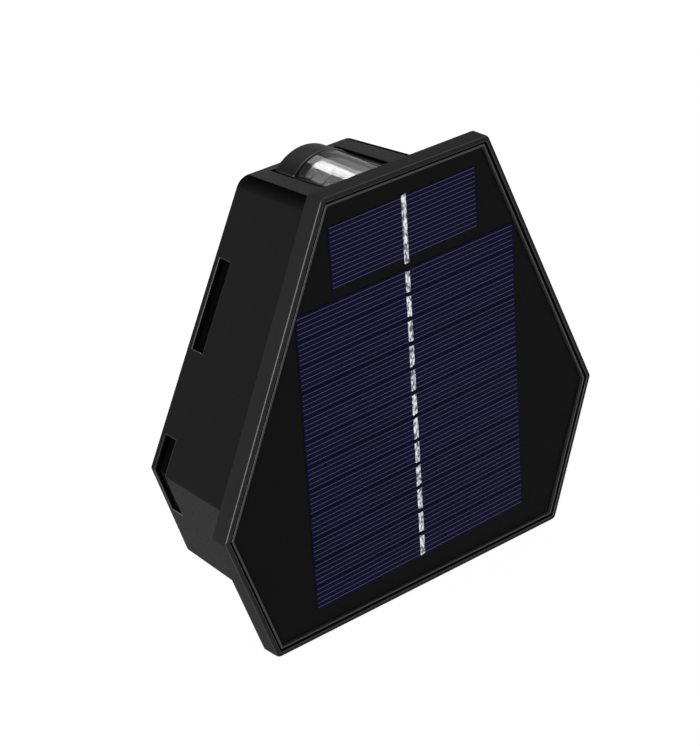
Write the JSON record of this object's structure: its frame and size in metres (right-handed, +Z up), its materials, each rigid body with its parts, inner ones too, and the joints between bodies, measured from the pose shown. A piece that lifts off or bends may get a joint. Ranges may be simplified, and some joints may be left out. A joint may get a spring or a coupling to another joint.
{
  "type": "solar fence light",
  "caption": "Six-sided black solar fence light that hangs flat on a wall: framed solar panel in front, clear lenses above and below, light slots in the sides, push switch behind.",
  "frame": {"origin": "on the flat wall face, on the light's centre line, at the height of the frame's wide corners", "axes": "+Y out of the back into the wall, -Y the way the solar panel faces, +Z up, +X to the right seen from the front"},
  "size_m": [0.1198, 0.04, 0.112],
  "materials": {
    "housing_abs": "fine moulded texture",
    "frame_abs": "fine moulded texture",
    "seal_rubber": "soft moulded",
    "foam_tape": "closed foam",
    "panel_laminate": "smooth laminate",
    "silicon_cells": "coated silicon under film",
    "tinned_ribbon": "tinned copper",
    "clear_pc": "clear moulded polycarbonate",
    "cup_abs": "smooth moulding",
    "white_board": "white solder mask",
    "led_phosphor": "phosphor dome",
    "smoked_pc": "dark smoked polycarbonate",
    "green_board": "solder mask",
    "plug_plastic": "moulded nylon",
    "zinc_steel": "zinc plated",
    "switch_plastic": "moulded",
    "button_rubber": "soft moulded",
    "holder_plastic": "moulded",
    "battery_sleeve": "shrunk sleeve",
    "nickel_contact": "nickel plated spring steel",
    "lead_sleeve": "extruded sleeve"
  },
  "bodies": {
    "light": {"housing": "housing_abs", "front_frame": "frame_abs", "housing_seal": "seal_rubber", "panel_gasket": "foam_tape", "panel_board": "panel_laminate", "solar_cells": "silicon_cells", "cell_ribbons": "tinned_ribbon", "top_hood": "housing_abs", "bottom_hood": "housing_abs", "top_lens": "clear_pc", "bottom_lens": "clear_pc", "top_led_cup": "cup_abs", "bottom_led_cup": "cup_abs", "top_led_board": "white_board", "bottom_led_board": "white_board", "top_leds": "led_phosphor", "bottom_leds": "led_phosphor", "window_upper_left": "smoked_pc", "window_upper_right": "smoked_pc", "window_corner_left": "smoked_pc", "window_corner_right": "smoked_pc", "side_led_boards": "white_board", "side_leds": "led_phosphor", "main_board": "green_board", "board_parts": "plug_plastic", "board_screws": "zinc_steel", "switch_body": "switch_plastic", "battery_holder": "holder_plastic", "battery": "battery_sleeve", "battery_contacts": "nickel_contact", "frame_screws": "zinc_steel", "panel_leads": "lead_sleeve", "battery_leads": "lead_sleeve", "led_leads": "lead_sleeve", "side_led_leads": "lead_sleeve"},
    "button": {"switch_button": "button_rubber"}
  },
  "joints": [
    {"name": "button_press", "type": "slide", "parent": "light", "child": "button", "axis": [0, -1, 0], "range_m": [0, 0.0012], "stiffness_N_per_m": 600}
  ]
}
